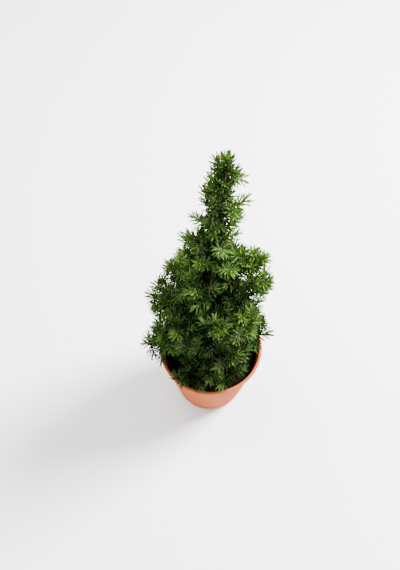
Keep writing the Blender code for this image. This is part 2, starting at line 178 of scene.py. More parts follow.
@dataclass(frozen=True)
class MottledFinish(Finish):
    """A finish whose colour wanders between two tones, with a fine relief."""

    second: Colour = (0.5, 0.5, 0.5)
    patch_size: float = 0.01
    relief_size: float = 0.001
    relief: float = 0.1

    def material(self) -> bpy.types.Material:
        """Makes the finish's material from noise in the object's own coordinates.

        Returns:
            A new material with a mottled colour and a bump.
        """
        made = super().material()
        nodes, links = made.node_tree.nodes, made.node_tree.links
        shader = nodes["Principled BSDF"]
        place = nodes.new("ShaderNodeTexCoord")
        patches = nodes.new("ShaderNodeTexNoise")
        patches.inputs["Scale"].default_value = 1.0 / self.patch_size
        patches.inputs["Detail"].default_value = 4.0
        tones = nodes.new("ShaderNodeValToRGB")
        tones.color_ramp.elements[0].position = 0.35
        tones.color_ramp.elements[0].color = (*self.colour, 1.0)
        tones.color_ramp.elements[1].position = 0.65
        tones.color_ramp.elements[1].color = (*self.second, 1.0)
        grain = nodes.new("ShaderNodeTexNoise")
        grain.inputs["Scale"].default_value = 1.0 / self.relief_size
        grain.inputs["Detail"].default_value = 3.0
        bump = nodes.new("ShaderNodeBump")
        bump.inputs["Strength"].default_value = self.relief
        bump.inputs["Distance"].default_value = self.relief_size
        links.new(place.outputs["Object"], patches.inputs["Vector"])
        links.new(place.outputs["Object"], grain.inputs["Vector"])
        links.new(patches.outputs["Fac"], tones.inputs["Fac"])
        links.new(tones.outputs["Color"], shader.inputs["Base Color"])
        links.new(grain.outputs["Fac"], bump.inputs["Height"])
        links.new(bump.outputs["Normal"], shader.inputs["Normal"])
        return made


class NeedleTint(Enum):
    """The greens that are dealt out among the sprays. SHADE, DEEP, LEAF, FRESH and LIGHT form one ladder: young
    tips are lighter, and the ladder also carries painted shade inside and low in the crown and painted light on
    its outer, upper and side shoots. OLIVE and DRY are the needles' own tones.
    """

    LIGHT = Finish("needle_light_tip", (0.090, 0.170, 0.015), 0.55, 0.17)
    FRESH = Finish("needle_fresh_green", (0.046, 0.104, 0.009), 0.55, 0.15)
    LEAF = Finish("needle_mid_green", (0.022, 0.054, 0.005), 0.60, 0.12)
    DEEP = Finish("needle_deep_green", (0.007, 0.026, 0.002), 0.65, 0.07)
    OLIVE = Finish("needle_olive", (0.040, 0.052, 0.014), 0.60, 0.12)
    # Painted shade: a near-black green for the needles with the lowest level, deep inside and low in the crown.
    SHADE = Finish("needle_shade_green", (0.0025, 0.009, 0.001), 0.75, 0.03)
    DRY = Finish("needle_dry", (0.200, 0.120, 0.050), 0.70, 0.15)


BARK = MottledFinish(
    "brown_bark", (0.100, 0.072, 0.042), 0.85, 0.25, (0.230, 0.190, 0.120), 0.004, 0.0012, 0.45
)
TWIG = Finish("tan_twig", (0.050, 0.050, 0.018), 0.75, 0.10)
DRY_TWIG = Finish("dry_twig", (0.300, 0.180, 0.095), 0.80, 0.10)
POT_PLASTIC = MottledFinish(
    "terracotta_plastic", (0.360, 0.081, 0.021), 0.70, 0.06, (0.390, 0.091, 0.026), 0.030, 0.0006, 0.05
)
# Near-black compost: the peat's own dark brown, darkened further with painted shade for the shade that falls
# inside the pot.
COMPOST = MottledFinish(
    "dark_compost", (0.0022, 0.0013, 0.0009), 0.95, 0.04, (0.008, 0.005, 0.003), 0.005, 0.0012, 0.60
)
# The crumbs are near-black, with the same painted shade as the compost.
CRUMB = Finish("compost_crumb", (0.007, 0.0045, 0.003), 0.95, 0.04)


@dataclass(frozen=True)
class PotShape:
    """The pot's driving sizes, read from the frame where a solid shows them."""

    rim_radius: float
    height: float
    foot_radius: float = 0.0367
    wall: float = 0.0013
    floor: float = 0.0020
    lip_width: float = 0.0016
    lip_height: float = 0.0030
    soil_top: float = 0.0780
    drain_holes: int = 6
    drain_radius: float = 0.0025
    drain_circle: float = 0.0240

    def outer_radius(self, height: float) -> float:
        """Gives the outside radius of the tapering wall.

        Args:
            height: The height above the underside.

        Returns:
            The radius in metres.
        """
        return between(self.foot_radius, self.rim_radius - self.lip_width, height / self.height)

    def inner_radius(self, height: float) -> float:
        """Gives the inside radius of the tapering wall.

        Args:
            height: The height above the underside.

        Returns:
            The radius in metres.
        """
        return self.outer_radius(height) - self.wall

    def is_clear(self, point: Vector, reach: float) -> bool:
        """Tells whether a ball misses the pot and the soil.

        Args:
            point: The ball's centre.
            reach: The ball's radius.

        Returns:
            True if it touches neither.
        """
        radial = math.hypot(point.x, point.y)
        if point.z < self.height and radial > self.rim_radius:
            return radial - self.rim_radius > reach
        wall = self.inner_radius(min(point.z, self.height))
        aside = max(wall - radial, radial - self.rim_radius, 0.0)
        lip = math.hypot(aside, max(point.z - self.height, 0.0))
        return lip > reach and (radial > self.rim_radius or point.z - self.soil_top > reach)


@dataclass(frozen=True)
class TrunkShape:
    """The trunk's course and taper."""

    foot: float = 0.0780
    top: float = 0.2560
    plant_top: float = 0.3740
    foot_radius: float = 0.0040
    leader_radius: float = 0.0006
    root_flare: float = 0.0026

    def axis(self, height: float) -> Vector:
        """Gives the trunk's middle: a slow sway, then a step to the right under the leader.

        Args:
            height: The height above the pot's underside.

        Returns:
            The point on the axis.
        """
        sway = 0.0022 * math.sin(math.pi * (height - self.foot) / 0.165)
        share = clamped((height - 0.310) / 0.050)
        step = 0.0050 * share * share * (3.0 - 2.0 * share)
        depth = 0.0015 * math.sin(math.pi * (height - self.foot) / 0.120)
        return Vector((step - sway, depth, height))

    def radius(self, height: float) -> float:
        """Gives the trunk's radius, with the root flare at its foot.

        Args:
            height: The height above the pot's underside.

        Returns:
            The radius in metres.
        """
        share = clamped((height - self.foot) / (self.plant_top - self.foot))
        flare = self.root_flare * math.exp(-(height - self.foot) / 0.0045)
        return between(self.foot_radius, self.leader_radius, share**0.8) + flare


@dataclass
class Shoot:
    """A straight twig with needles on its outer part, or all along it."""

    root: Vector
    tip: Vector
    start: Vector
    reach: float
    fine: bool = False
    spray: Segment = field(init=False)
    bare: Segment = field(init=False)

    def __post_init__(self) -> None:
        """Works out the line that the needles' reach is measured from."""
        along = (self.tip - self.start).normalized()
        inner = self.start + along * self.reach * 0.45
        self.spray = (inner, self.tip - along * self.reach * 0.55)
        self.bare = (self.root, inner)


@dataclass
class Mass:
    """A stem that carries shoots, with the limb that it grows from."""

    name: str
    path: Path
    bough_share: float
    seed: float
    shoots: list[Shoot] = field(default_factory=list)
    limb: list[Segment] = field(init=False)

    def __post_init__(self) -> None:
        """Splits the limb into straight pieces."""
        points = [self.path(i / 4) for i in range(5)]
        self.limb = list(zip(points, points[1:]))

    def direction(self, share: float) -> Vector:
        """Gives the way that the limb runs.

        Args:
            share: How far along the limb.

        Returns:
            A unit vector.
        """
        return (self.path(share + 0.01) - self.path(share - 0.01)).normalized()


def limb_path(root: Vector, tip: Vector, sag: float) -> Path:
    """Makes a curve that leaves its root flat and then turns up.

    Args:
        root: Where it starts.
        tip: Where it ends.
        sag: How far its middle hangs under the straight line.

    Returns:
        A function from a share between 0 and 1 to a point.
    """
    middle = (root + tip) / 2.0 - Vector((0.0, 0.0, sag))

    def at(share: float) -> Vector:
        return root * (1 - share) ** 2 + middle * 2 * share * (1 - share) + tip * share**2

    return at


@dataclass(frozen=True)
class SkyGap:
    """A gap through the crown, seen along the line from the photo's eye to a point over the trunk's plane."""

    x: float
    z: float
    radius: float
    eye: tuple[float, float, float] = (-0.01103, -0.26725, 0.66294)

    def apart(self, points: np.ndarray) -> np.ndarray:
        """Measures how far points lie from the gap's line.

        Args:
            points: The points, one row each.

        Returns:
            The distances in metres.
        """
        eye = np.array(self.eye)
        way = np.array((self.x, 0.0, self.z)) - eye
        way /= np.linalg.norm(way)
        return np.linalg.norm(np.cross(points - eye, way), axis=1)

    def holds(self, points: np.ndarray) -> np.ndarray:
        """Tells which points lie in the gap and before the trunk.

        Args:
            points: The points, one row each.

        Returns:
            True for each point that is in it.
        """
        return (self.apart(points) < self.radius) & (points[:, 1] < 0.0015)


@dataclass
class Crown:
    """Grows the masses of foliage by the source's rule, and then the finer shoots between them."""

    pot: PotShape
    trunk: TrunkShape
    seed: int = 43
    boughed_masses: int = 18
    trunk_masses: int = 12
    gap: float = 0.0003
    stem_radius: float = 0.0013
    limb_room: float = 0.0017
    sibling_room: float = 0.435
    needle_low: float = 0.0110
    needle_high: float = 0.0072
    needle_spread: float = 0.74
    outline: tuple[tuple[float, float, float], ...] = (
        (0.090, 0.060, -0.008),
        (0.120, 0.057, -0.003),
        (0.175, 0.052, -0.003),
        (0.200, 0.054, 0.000),
        (0.225, 0.043, 0.006),
        (0.255, 0.036, 0.006),
        (0.280, 0.022, -0.002),
        (0.305, 0.018, 0.000),
        (0.330, 0.016, 0.000),
        (0.350, 0.011, 0.000),
    )
    long_tips: tuple[tuple[float, float, float], ...] = (
        (0.259, 0, 0.0430),
        (0.247, 180, 0.0395),
        (0.231, -5, 0.0500),
        (0.199, 10, 0.0550),
        (0.188, 175, 0.0560),
        (0.133, -8, 0.0600),
        (0.125, 190, 0.0585),
        (0.125, -70, 0.0420),
        (0.106, -66, 0.0490),
        (0.104, -120, 0.0570),
        (0.102, 180, 0.0700),
    )
    leader_tips: tuple[tuple[float, float, float], ...] = (
        (0.348, 5, 0.0115),
        (0.337, 185, 0.0130),
        (0.330, -10, 0.0190),
        (0.317, 170, 0.0170),
        (0.290, 190, 0.0240),
        (0.303, 15, 0.0190),
        (0.292, 280, 0.0210),
        (0.296, 95, 0.0200),
        (0.279, 20, 0.0170),
        (0.277, 235, 0.0260),
        (0.274, 165, 0.0280),
        (0.270, -60, 0.0270),
    )
    clearings: tuple[tuple[float, float, float, float, float], ...] = (
        (218.0, 16.0, 0.000, 0.108, 0.038),
        (-32.0, 28.0, 0.000, 0.112, 0.038),
        (-90.0, 28.0, 0.235, 0.330, 0.000),
        (0.0, 70.0, 0.262, 0.296, 0.014),
    )
    sky_gaps: tuple[SkyGap, ...] = (
        SkyGap(0.0235, 0.2258, 0.0042),
        SkyGap(0.0345, 0.1938, 0.0038),
        SkyGap(-0.0110, 0.2127, 0.0010),
        SkyGap(0.0098, 0.3396, 0.0012),
        SkyGap(0.0147, 0.3365, 0.0014),
        SkyGap(0.0057, 0.3223, 0.0006),
        SkyGap(-0.0032, 0.3120, 0.0006),
        SkyGap(0.0078, 0.3024, 0.0006),
        SkyGap(0.0159, 0.2874, 0.0020),
        SkyGap(0.0262, 0.2756, 0.0045),
    )
    trunk_gaps: tuple[SkyGap, ...] = (
        SkyGap(0.0025, 0.3131, 0.0014),
        SkyGap(0.0029, 0.2963, 0.0016),
        SkyGap(0.0050, 0.2770, 0.0016),
    )
    fine_tips: tuple[tuple[float, float, float], ...] = (
        (0.346, 2, 0.0135),
        (0.285, 11, 0.0175),
        (0.200, -2, 0.0480),
        (0.145, -3, 0.0520),
        (0.105, 13, 0.0600),
        (0.113, 17, 0.0575),
        (0.200, 175, 0.0510),
        (0.172, 176, 0.0545),
        (0.112, 189, 0.0590),
        (0.106, 199, 0.0620),
        (0.104, 206, 0.0570),
        (0.114, 183, 0.0640),
        (0.103, 240, 0.0560),
    )
    masses: list[Mass] = field(default_factory=list)
    fine_shoots: list[Shoot] = field(default_factory=list)

    def row(self, height: float) -> tuple[float, float]:
        """Reads the crown's outline at a height, on straight lines between the named ones.

        Args:
            height: The height above the pot's underside.

        Returns:
            The reach from the trunk's axis and the shift towards +X.
        """
        height = clamped(height, self.outline[0][0], self.outline[-1][0])
        for lower, upper in zip(self.outline, self.outline[1:]):
            if height <= upper[0]:
                share = (height - lower[0]) / (upper[0] - lower[0])
                return between(lower[1], upper[1], share), between(lower[2], upper[2], share)
        return self.outline[-1][1], self.outline[-1][2]

    def reach(self, height: float, turn: float) -> float:
        """Gives the crown's reach from the trunk's axis towards one bearing.

        Args:
            height: The height above the pot's underside.
            turn: The bearing from +X, in radians.

        Returns:
            The reach in metres.
        """
        reach, shift = self.row(height)
        return reach + shift * math.cos(turn)

    def needle_length(self, height: float) -> float:
        """Gives the needles' length, which shortens evenly towards the leader.

        Args:
            height: The height above the pot's underside.

        Returns:
            The length in metres.
        """
        soil, top = self.trunk.foot, self.trunk.plant_top
        return between(self.needle_low, self.needle_high, clamped((height - soil) / (top - soil)))

    def spray_is_free(self, shoot: Shoot) -> bool:
        """Tells whether a shoot's needles miss the pot, the soil and the trunk.

        Args:
            shoot: The shoot.

        Returns:
            True if they do.
        """
        for share in (0.0, 0.33, 0.67, 1.0):
            point = shoot.spray[0].lerp(shoot.spray[1], share)
            if not self.pot.is_clear(point, shoot.reach + self.gap):
                return False
            height = clamped(point.z, self.trunk.foot, self.trunk.top)
            room = shoot.reach + self.trunk.radius(height) + self.gap
            if (point - self.trunk.axis(height)).length < room:
                return False
        return True

    def shoot_fits(self, shoot: Shoot, own: Mass) -> bool:
        """Tells whether a shoot keeps clear of every other mass, and of its own bough.

        Args:
            shoot: The shoot.
            own: The mass that it would grow on.

        Returns:
            True if there is room for it.
        """
        room = shoot.reach + self.limb_room
        if not self.spray_is_free(shoot):
            return False
        if own.bough_share and segment_gap(shoot.spray, own.limb[0]) < room:
            return False
        for other in own.shoots:
            if segment_gap(shoot.spray, other.spray) < (shoot.reach + other.reach) * self.sibling_room:
                return False
        return all(self.keeps_off(shoot, mass, room) for mass in self.masses if mass is not own)

    def keeps_off(self, shoot: Shoot, mass: Mass, room: float) -> bool:
        """Tells whether a shoot keeps clear of one other mass.

        Args:
            shoot: The shoot.
            mass: The other mass.
            room: The room that the shoot's needles need from a bare limb.

        Returns:
            True if it does.
        """
        for piece in mass.limb:
            if segment_gap(shoot.spray, piece) < room:
                return False
            if segment_gap(shoot.bare, piece) < 2 * self.limb_room:
                return False
        for other in mass.shoots:
            if segment_gap(shoot.spray, other.spray) < shoot.reach + other.reach + self.gap:
                return False
            if segment_gap(shoot.spray, other.bare) < room:
                return False
            if segment_gap(shoot.bare, other.spray) < other.reach + self.limb_room:
                return False
            if segment_gap(shoot.bare, other.bare) < 2 * self.limb_room:
                return False
        return True

    def limb_fits(self, mass: Mass) -> bool:
        """Tells whether a limb and its end shoot keep clear of the ones already placed.

        Args:
            mass: The mass with its end shoot.

        Returns:
            True if there is room for it.
        """
        end = mass.shoots[0]
        if not self.spray_is_free(end):
            return False
        for other in self.masses:
            for piece in other.limb:
                if segment_gap(end.spray, piece) < end.reach + self.limb_room:
                    return False
                if any(segment_gap(own, piece) < 2.2 * self.limb_room for own in mass.limb):
                    return False
            spray = other.shoots[0]
            if segment_gap(end.spray, spray.spray) < end.reach + spray.reach + self.gap:
                return False
            if any(segment_gap(own, spray.spray) < spray.reach + self.limb_room for own in mass.limb):
                return False
        return True

    def tip_places(self) -> list[tuple[float, float, float]]:
        """Lays out the masses' tips on a rising spiral, from the lowest up.

        Returns:
            The height, bearing and reach of each.
        """
        count = self.boughed_masses + self.trunk_masses
        dice = random.Random(self.seed)
        steps = 400
        low, high = self.outline[0][0] + 0.010, self.trunk.top + 0.006
        heights = [between(low, high, i / steps) for i in range(steps + 1)]
        weights = [self.row(height)[0] ** 1.4 for height in heights]
        total, passed = sum(weights), 0.0
        places: list[tuple[float, float, float]] = []
        for height, weight in zip(heights, weights):
            passed += weight
            while len(places) < count and passed / total >= (len(places) + 0.5) / count:
                turn = (len(places) * GOLDEN_TURN + dice.uniform(-0.2, 0.2)) % math.tau
                places.append((height, turn, self.reach(height, turn) * dice.uniform(0.88, 1.0)))
        return places

    def drawn_to_long_tips(self, places: list[tuple[float, float, float]]) -> list[tuple[float, float, float]]:
        """Moves the nearest place to each of the tips that stand out of the crown.

        Args:
            places: The places on the spiral.

        Returns:
            The places with some of them moved.
        """

        def apart(one: tuple[float, float, float], other: tuple[float, float, float]) -> float:
            turn = math.remainder(one[1] - other[1], math.tau)
            return math.hypot(one[0] - other[0], turn * 0.030)

        moved: dict[int, tuple[float, float, float]] = {}
        for height, bearing, reach in self.long_tips:
            wanted = (height, math.radians(bearing), reach)
            free = [i for i in range(len(places)) if i not in moved]
            moved[min(free, key=lambda i: apart(places[i], wanted))] = wanted
        return [moved.get(i, place) for i, place in enumerate(places)]

    def make_mass(self, number: int, place: tuple[float, float, float], seed: float) -> Mass:
        """Makes a mass whose end shoot's needles reach a place.

        Args:
            number: The mass's number, from 1 at the lowest.
            place: The height, bearing and reach of its tip.
            seed: What its side shoots are dealt from.

        Returns:
            The mass with its end shoot.
        """
        height, turn, out = place
        trunk = self.trunk
        outward = Vector((math.cos(turn), math.sin(turn), 0.0))
        needle = self.needle_length(height) * self.needle_spread
        foot = between(0.30, 0.62, (height - trunk.foot) / (trunk.top - trunk.foot))
        root_height = max(trunk.foot + 0.006, height - out * math.tan(foot * 1.35))
        root_height = min(root_height, trunk.top - 0.004)
        axis = trunk.axis(root_height)
        tip = trunk.axis(height) + outward * out
        tip -= (tip - axis).normalized() * needle * 0.45
        way = (tip - axis).normalized()
        root = axis + outward * (trunk.radius(root_height) + self.gap + self.stem_radius * abs(way.z))
        path = limb_path(root, tip, (tip - root).length * 0.06)
        bough_share = 0.42 if number <= self.boughed_masses else 0.0
        mass = Mass(f"foliage_{number:02d}", path, bough_share, seed)
        length = (tip - root).length
        start = path(max(mass.bough_share + 0.10, 1.0 - 0.019 / length))
        mass.shoots.append(Shoot(path(mass.bough_share), tip, start, needle))
        return mass

    def place_limbs(self) -> None:
        """Lays out the limbs, each swung round a little or raised until it fits."""
        dice = random.Random(self.seed + 1)
        places = self.drawn_to_long_tips(self.tip_places())
        for i in sorted(range(len(places)), key=lambda k: -places[k][2]):
            height, turn, out = places[i]
            for attempt in range(60):
                swing = attempt * 0.03
                place = (
                    height + dice.uniform(0.0, 1.0) * swing * 0.012,
                    turn + dice.uniform(-1.0, 1.0) * swing * 0.7,
                    out * (1.0 - swing * 0.08),
                )
                mass = self.make_mass(i + 1, place, dice.random())
                if self.limb_fits(mass):
                    self.masses.append(mass)
                    break
        self.masses.sort(key=lambda mass: mass.name)

    def side_shoots(self, mass: Mass) -> Iterator[Shoot]:
        """Offers shoots that may leave a mass's stem all round it, longer near its root.

        Args:
            mass: The mass.

        Yields:
            The shoots to try.
        """
        dice = random.Random(mass.seed)
        length = (mass.path(1.0) - mass.path(mass.bough_share)).length
        count = 6 + int(length / 0.0030)
        for k in range(count):
            share = between(mass.bough_share + 0.08, 0.88, (k + 0.5) / count)
            root = mass.path(share)
            along = mass.direction(share)
            side = along.cross(Vector((0.0, 0.0, 1.0))).normalized()
            turn = k * GOLDEN_TURN + dice.uniform(-0.4, 0.4)
            out = side * math.cos(turn) + side.cross(along) * math.sin(turn)
            lean = math.radians(dice.uniform(44.0, 60.0))
            way = along * math.cos(lean) + out * math.sin(lean) + Vector((0.0, 0.0, 0.20))
            size = between(1.0, 0.72, (share - mass.bough_share) / (1 - mass.bough_share))
            size *= dice.uniform(0.88, 1.12) * between(1.0, 0.60, root.z / self.trunk.plant_top)
            for trial in (1.0, 0.8):
                tip = root + way.normalized() * 0.0290 * size * trial
                reach = self.needle_length(tip.z) * self.needle_spread
                yield Shoot(root, tip, root.lerp(tip, 0.28), reach)

    def outness(self, point: Vector) -> float:
        """Tells how near a point is to the crown's outline.

        Args:
            point: The point.

        Returns:
            0 on the trunk's axis, 1 on the outline.
        """
        axis = self.trunk.axis(max(point.z, self.trunk.foot))
        out = math.hypot(point.x - axis.x, point.y - axis.y)
        turn = math.atan2(point.y - axis.y, point.x - axis.x)
        return out / self.reach(point.z, turn)

    def within(self, shoot: Shoot) -> bool:
        """Tells whether a shoot's needles stay in the crown's outline.

        Args:
            shoot: The shoot.

        Returns:
            True if they do.
        """
        tip = shoot.tip
        axis = self.trunk.axis(max(tip.z, self.trunk.foot))
        out = math.hypot(tip.x - axis.x, tip.y - axis.y)
        turn = math.atan2(tip.y - axis.y, tip.x - axis.x)
        low = tip.z < self.trunk.plant_top - 0.014
        return low and out + shoot.reach * 0.45 < self.reach(tip.z, turn)

    def make_leader(self) -> Mass:
        """Makes the mass that carries the crown on from the trunk's cut tip to the plant's top.

        Returns:
            The mass with its end shoot and its named tips.
        """
        trunk = self.trunk
        foot = trunk.top + self.gap
        needle = self.needle_length(trunk.plant_top) * self.needle_spread
        top = trunk.plant_top - needle * 0.45

        def path(share: float) -> Vector:
            return trunk.axis(between(foot, top, share))

        mass = Mass("foliage_leader", path, 0.0, 0.5)
        mass.shoots.append(Shoot(path(0.0), path(1.0), path(0.74), needle))
        for height, bearing, reach in self.leader_tips:
            turn = math.radians(bearing)
            outward = Vector((math.cos(turn), math.sin(turn), 0.0))
            tip = trunk.axis(height) + outward * (reach - needle * 0.45)
            root = trunk.axis(height - reach * 1.05)
            mass.shoots.append(Shoot(root, tip, root.lerp(tip, 0.2), needle))
        return mass

    def grow(self) -> None:
        """Grows the masses: the end shoots first, then the side shoots turn by turn."""
        self.place_limbs()
        self.masses.append(self.make_leader())
        waiting = [(mass, list(self.side_shoots(mass))) for mass in self.masses]
        while any(shoots for _, shoots in waiting):
            for mass, shoots in waiting:
                if shoots:
                    shoot = shoots.pop()
                    if self.within(shoot) and self.shoot_fits(shoot, mass):
                        mass.shoots.append(shoot)
        log.info("masses %d, shoots %d", len(self.masses), sum(len(m.shoots) for m in self.masses))
        for mass in self.masses:
            mass.shoots[1:] = [shoot for shoot in mass.shoots[1:] if not self.is_open(shoot)]
        log.info("shoots kept %d", sum(len(m.shoots) for m in self.masses))

    def finer_tries(self, dice: random.Random) -> Iterator[Shoot]:
        """Offers the finer shoots: on the masses' shoots, on their stems and on the trunk.

        Args:
            dice: The seeded source of chance.

        Yields:
            The shoots to try.
        """
        for mass in self.masses:
            for parent in list(mass.shoots):
                along = (parent.tip - parent.root).normalized()
                for share in (0.25, 0.35, 0.45, 0.55, 0.65, 0.75, 0.85):
                    yield self.fine_shoot(parent.root.lerp(parent.tip, share), along, 0.0125, dice)
            for k in range(60):
                share = between(mass.bough_share * 0.6, 0.92, (k + 0.5) / 60)
                yield self.fine_shoot(mass.path(share), mass.direction(share), 0.0185, dice)
        for k in range(320):
            height = between(self.trunk.foot + 0.014, self.trunk.plant_top - 0.018, ((k + 0.5) / 320) ** 0.7)
            length = between(0.024, 0.011, k / 320)
            yield self.fine_shoot(self.trunk.axis(height), Vector((0.0, 0.0, 1.0)), length, dice)

    def fine_shoot(self, root: Vector, along: Vector, length: float, dice: random.Random) -> Shoot:
        """Makes one finer shoot at a random turn round its parent.

        Args:
            root: Where it leaves its parent.
            along: The parent's direction.
            length: Its usual length.
            dice: The seeded source of chance.

        Returns:
            The shoot.
        """
        side = along.orthogonal().normalized()
        turn = dice.uniform(0.0, math.tau)
        out = side * math.cos(turn) + along.cross(side) * math.sin(turn)
        lean = math.radians(dice.uniform(38.0, 62.0))
        rise = between(1.05, 0.65, clamped((root.z - 0.12) / 0.12))
        way = along * math.cos(lean) + out * math.sin(lean) + Vector((0.0, 0.0, rise))
        tip = root + way.normalized() * length * dice.uniform(0.8, 1.2)
        reach = self.needle_length(tip.z) * self.needle_spread
        return Shoot(root, tip, root.lerp(tip, 0.1), reach, fine=True)

    def is_open(self, shoot: Shoot) -> bool:
        """Tells whether a shoot's tip is where the crown stays open over the compost or before the trunk.

        Args:
            shoot: The shoot.

        Returns:
            True if nothing grows there.
        """
        axis = self.trunk.axis(max(shoot.tip.z, self.trunk.foot))
        out = shoot.tip - axis
        turn = math.atan2(out.y, out.x)
        for bearing, half, low, high, least in self.clearings:
            aside = abs(math.remainder(turn - math.radians(bearing), math.tau))
            reached = out.length > (least if shoot.fine or least > 0.03 else math.inf)
            if reached and low < shoot.tip.z < high and aside < math.radians(half):
                return True
        ends = np.array([tuple(share_point(shoot, q)) for q in (0.5, 0.75, 1.0)])
        room = 0.0034 if shoot.fine else 0.0020
        return any((gap.apart(ends) < gap.radius + room).any() for gap in self.sky_gaps)

    def grow_fine_tips(self) -> None:
        """Grows the named fine tips, each from the nearest twig that is already there."""
        twigs = [share_point(s, q) for m in self.masses for s in m.shoots for q in (0.3, 0.5, 0.7, 0.85)]
        for height, bearing, reach in self.fine_tips:
            turn = math.radians(bearing)
            tip = self.trunk.axis(height) + Vector((math.cos(turn), math.sin(turn), 0.0)) * reach
            room = self.needle_length(height) * self.needle_spread
            tip = tip.lerp(self.trunk.axis(height), room * 0.45 / reach)
            root = min(twigs, key=lambda twig: abs((twig - tip).length - 0.011))
            self.fine_shoots.append(Shoot(root, tip, root.lerp(tip, 0.1), room, fine=True))

    def grow_finer(self, low_room: float = 0.0078, high_room: float = 0.0046) -> None:
        """Fills the crown with finer shoots where no other spray is near.

        Args:
            low_room: The least distance between two sprays' middles near the pot.
            high_room: The same at the leader.
        """
        dice = random.Random(self.seed + 2)
        taken = [share_point(s, q) for m in self.masses for s in m.shoots for q in (0.35, 0.6, 0.85)]
        taken += [shoot.tip for shoot in self.fine_shoots]
        places = np.array([tuple(point) for point in taken])
        for shoot in self.finer_tries(dice):
            ends = np.array([tuple(share_point(shoot, q)) for q in (0.65, 0.95)])
            gaps = np.linalg.norm(places[None] - ends[:, None], axis=2)
            share = clamped((shoot.tip.z - 0.10) / 0.24)
            if gaps.min() < between(low_room, high_room, share) or self.outness(shoot.tip) > 0.93:
                continue
            if not self.pot.is_clear(shoot.tip, 0.0045) or shoot.tip.z > self.trunk.plant_top - 0.010:
                continue
            height = clamped(shoot.tip.z, self.trunk.foot, self.trunk.plant_top)
            out = shoot.tip - self.trunk.axis(height)
            if out.length < 0.006 or self.is_open(shoot):
                continue
            self.fine_shoots.append(shoot)
            places = np.vstack([places, ends])
        log.info("finer shoots %d", len(self.fine_shoots))


def share_point(shoot: Shoot, share: float) -> Vector:
    """Gives a point on a shoot.

    Args:
        shoot: The shoot.
        share: How far from its root to its tip.

    Returns:
        The point.
    """
    return shoot.root.lerp(shoot.tip, share)


@dataclass
class MeshPile:
    """Collects corners and faces from many small things and joins them as one mesh."""

    corners: list[np.ndarray] = field(default_factory=list)
    faces: list[np.ndarray] = field(default_factory=list)
    count: int = 0

    def add(self, corners: np.ndarray, faces: np.ndarray) -> None:
        """Adds one thing.

        Args:
            corners: Its corners, one row each.
            faces: Its three-sided faces, as corner numbers.
        """
        self.corners.append(corners)
        self.faces.append(faces + self.count)
        self.count += len(corners)

    def build(self, name: str, material: bpy.types.Material, smooth: bool = True) -> bpy.types.Object:
        """Joins what was added into one object.

        Args:
            name: The piece's name.
            material: Its material.
            smooth: Whether its faces are shaded smooth.

        Returns:
            The new object, at the origin.
        """
        corners = np.vstack(self.corners).astype(np.float32)
        faces = np.vstack(self.faces).astype(np.int32)
        mesh = bpy.data.meshes.new(name)
        mesh.vertices.add(len(corners))
        mesh.vertices.foreach_set("co", corners.ravel())
        mesh.loops.add(faces.size)
        mesh.loops.foreach_set("vertex_index", faces.ravel())
        mesh.polygons.add(len(faces))
        mesh.polygons.foreach_set("loop_start", np.arange(0, faces.size, 3, dtype=np.int32))
        mesh.polygons.foreach_set("use_smooth", np.full(len(faces), smooth))
        mesh.update(calc_edges=True)
        mesh.validate()
        mesh.materials.append(material)
        obj = bpy.data.objects.new(name, mesh)
        bpy.context.scene.collection.objects.link(obj)
        return obj


@dataclass(frozen=True)
class NeedleForm:
    """One needle of unit length along Z: a slim, slightly flattened diamond with pointed ends."""

    half_width: float = 0.5
    flatness: float = 0.70
    foot: float = 0.08
    shoulder: float = 0.84

    def build(self) -> tuple[np.ndarray, np.ndarray]:
        """Models the needle and takes it back out of the scene.

        Returns:
            Its corners and its three-sided faces.
        """
        bpy.ops.object.select_all(action="DESELECT")
        bpy.ops.mesh.primitive_circle_add(vertices=4, radius=self.half_width, location=(0, 0, self.foot))
        obj = bpy.context.object
        bpy.ops.object.transform_apply(location=True)
        bpy.ops.object.mode_set(mode="EDIT")
        bpy.ops.mesh.select_all(action="SELECT")
        bpy.ops.transform.resize(value=(1, self.flatness, 1), center_override=(0, 0, self.foot))
        bpy.ops.mesh.extrude_region_move(TRANSFORM_OT_translate={"value": (0, 0, self.shoulder - self.foot)})
        bpy.ops.transform.resize(value=(0.94, 0.94, 1), center_override=(0, 0, self.shoulder))
        bpy.ops.mesh.extrude_region_move(TRANSFORM_OT_translate={"value": (0, 0, 1 - self.shoulder)})
        bpy.ops.mesh.merge(type="CENTER")
        bpy.ops.object.mode_set(mode="OBJECT")
        for vert in obj.data.vertices:
            vert.select = abs(vert.co.z - self.foot) < 1e-6
        bpy.ops.object.mode_set(mode="EDIT")
        bpy.ops.mesh.extrude_region_move(TRANSFORM_OT_translate={"value": (0, 0, -self.foot)})
        bpy.ops.mesh.merge(type="CENTER")
        bpy.ops.mesh.select_all(action="SELECT")
        bpy.ops.mesh.normals_make_consistent(inside=False)
        bpy.ops.mesh.quads_convert_to_tris()
        bpy.ops.object.mode_set(mode="OBJECT")
        corners = np.array([tuple(v.co) for v in obj.data.vertices])
        faces = np.array([tuple(p.vertices) for p in obj.data.polygons])
        bpy.data.objects.remove(obj, do_unlink=True)
        return corners, faces


